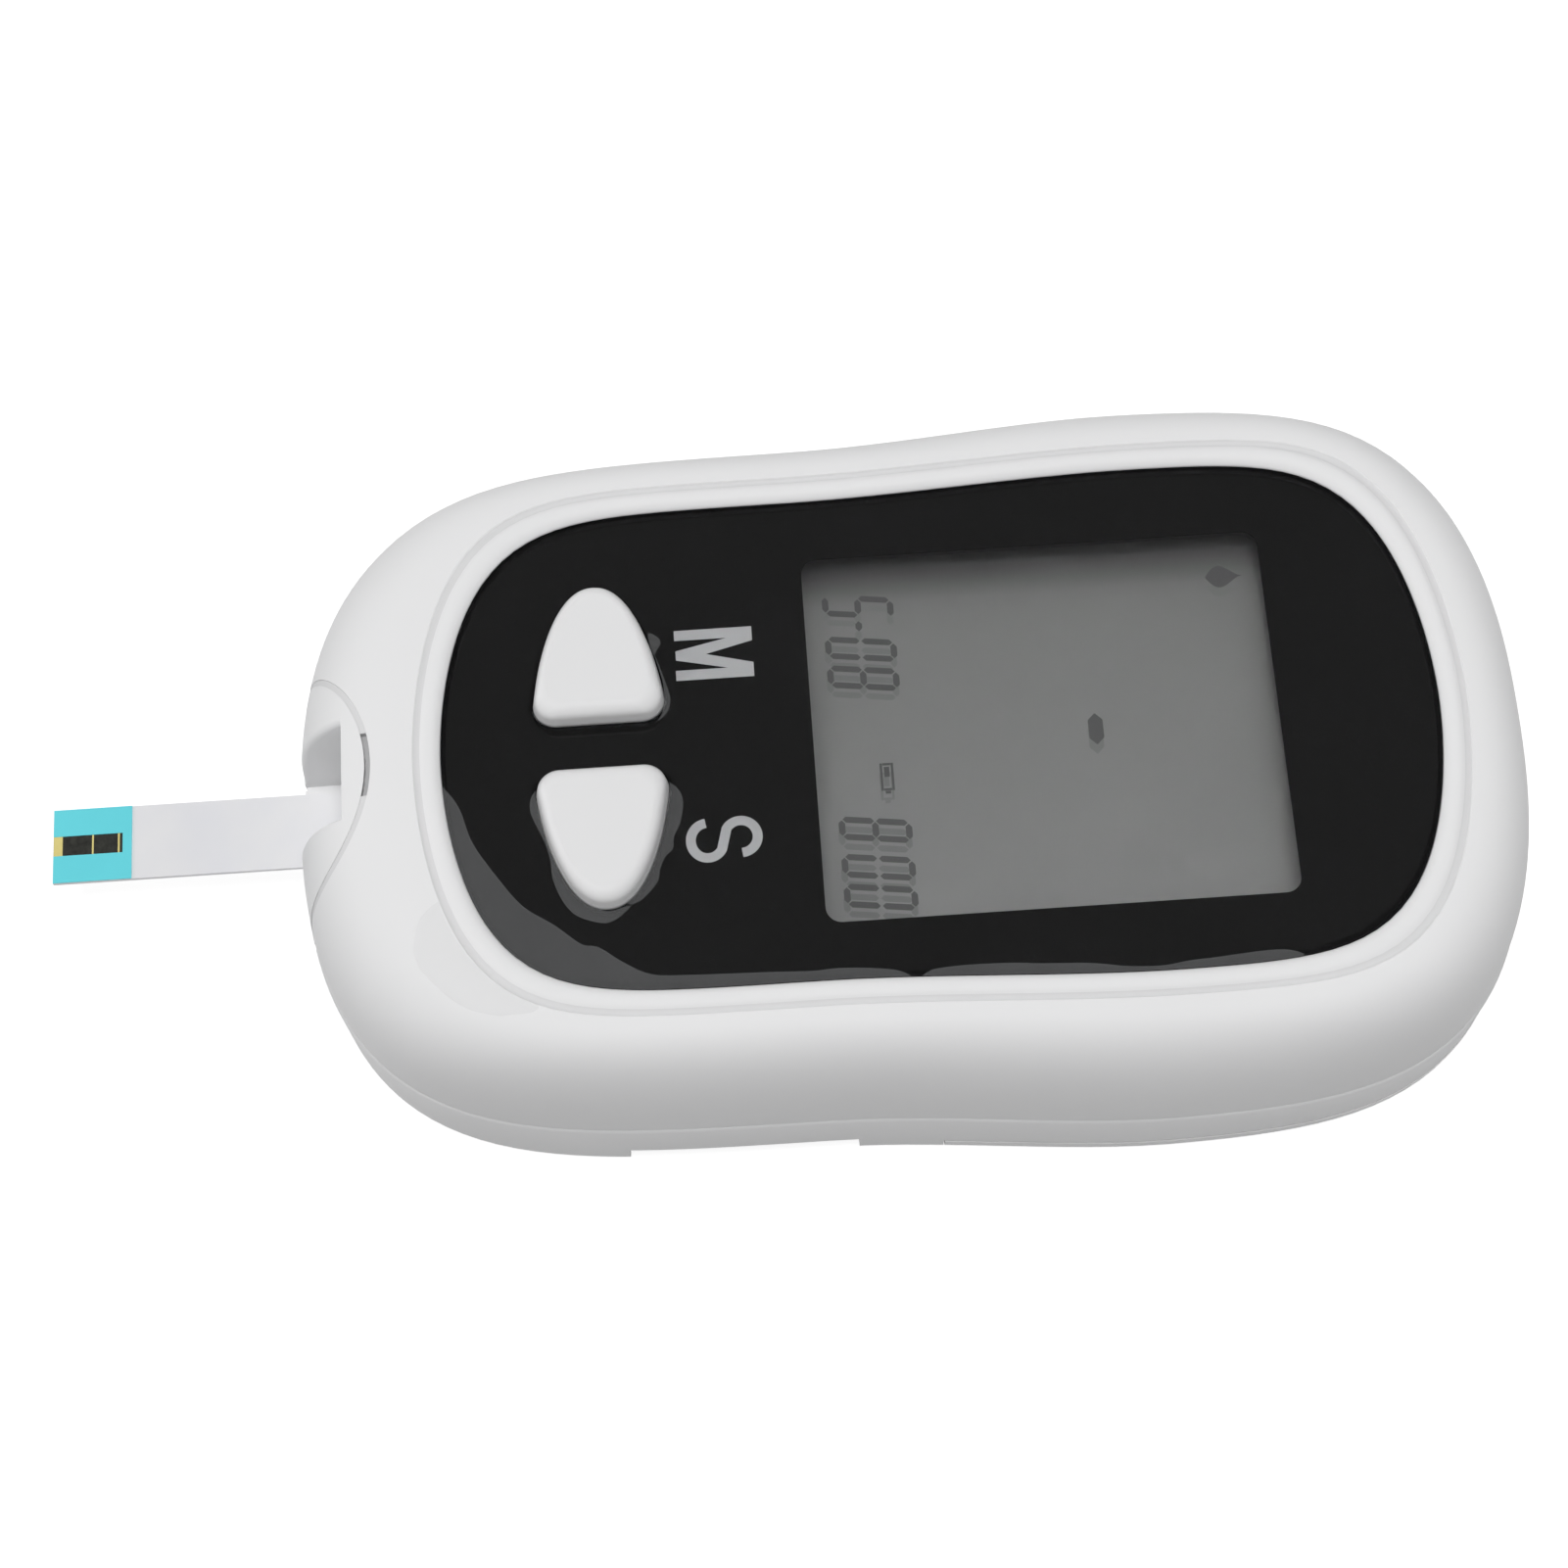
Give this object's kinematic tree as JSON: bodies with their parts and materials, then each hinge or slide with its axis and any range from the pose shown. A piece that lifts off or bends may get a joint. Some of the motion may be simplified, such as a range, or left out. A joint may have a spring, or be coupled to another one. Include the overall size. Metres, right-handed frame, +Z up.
{
  "type": "blood glucose meter",
  "caption": "Pocket blood glucose meter: rounded two-shell housing, glossy black panel with a window and two drop-shaped keys, and a test strip in a removable port at one end.",
  "frame": {"origin": "on the flat rest face under the middle of the housing's length and width", "axes": "+X to the user's right, +Y from the strip port to the display end, +Z up out of the panel"},
  "size_m": [0.0552, 0.112, 0.0212],
  "materials": {
    "shell_white": "soft-touch satin",
    "key_white": "satin",
    "lens_clear": "clear, hard coated",
    "film_clear": "clear",
    "print_black": "back print",
    "plunger_grey": "moulded",
    "strip_carrier": "satin film",
    "strip_turquoise": "printed film",
    "reagent_black": "absorbent layer",
    "gold": "gold film",
    "display_glass": "polished",
    "reflector": "matt foil",
    "inner_black": "moulded",
    "elastomer": "layered silicone",
    "board_green": "solder resist",
    "ceramic": "ceramic",
    "sheet_steel": "plated",
    "cell_can": "sleeve"
  },
  "bodies": {
    "housing": {"front_shell": "shell_white", "back_shell": "shell_white", "window_lens": "lens_clear", "window_mask": "print_black", "screen_film": "film_clear", "lcd_front_glass": "display_glass", "lcd_rear_glass": "display_glass", "lcd_reflector": "reflector", "lcd_frame": "inner_black", "zebra_connectors": "elastomer", "main_board": "board_green", "controller_chip": "inner_black", "board_parts": "ceramic", "buzzer": "inner_black", "switch_housings": "sheet_steel", "strip_connector": "inner_black", "strip_contacts": "gold", "battery_cell_front": "cell_can", "battery_cell_rear": "cell_can", "battery_springs": "sheet_steel", "battery_plates": "sheet_steel", "board_screws": "sheet_steel", "case_screws": "sheet_steel"},
    "memory_key": {"memory_key_cap": "key_white", "memory_switch_plunger": "plunger_grey"},
    "set_key": {"set_key_cap": "key_white", "set_switch_plunger": "plunger_grey"},
    "test_strip": {"strip_base": "strip_carrier", "strip_cover": "strip_turquoise", "strip_reaction_pad": "reagent_black", "strip_tracks": "gold"},
    "strip_port_holder": {"port_holder": "shell_white"},
    "battery_door": {"battery_door": "shell_white"}
  },
  "joints": [
    {"name": "memory_key_press", "type": "slide", "parent": "housing", "child": "memory_key", "axis": [0, 0, -1], "range_m": [0, 0.0005], "stiffness_N_per_m": 2000, "springref_m": -0.0005},
    {"name": "set_key_press", "type": "slide", "parent": "housing", "child": "set_key", "axis": [0, 0, -1], "range_m": [0, 0.0005], "stiffness_N_per_m": 2000, "springref_m": -0.0005},
    {"name": "test_strip_pull", "type": "slide", "parent": "housing", "child": "test_strip", "axis": [0, -1, 0], "range_m": [0, 0.0125]},
    {"name": "port_holder_pull", "type": "slide", "parent": "housing", "child": "strip_port_holder", "axis": [0, -1, 0], "range_m": [0, 0.01]},
    {"name": "battery_door_slide", "type": "slide", "parent": "housing", "child": "battery_door", "axis": [0, 1, 0], "range_m": [0, 0.006]}
  ]
}
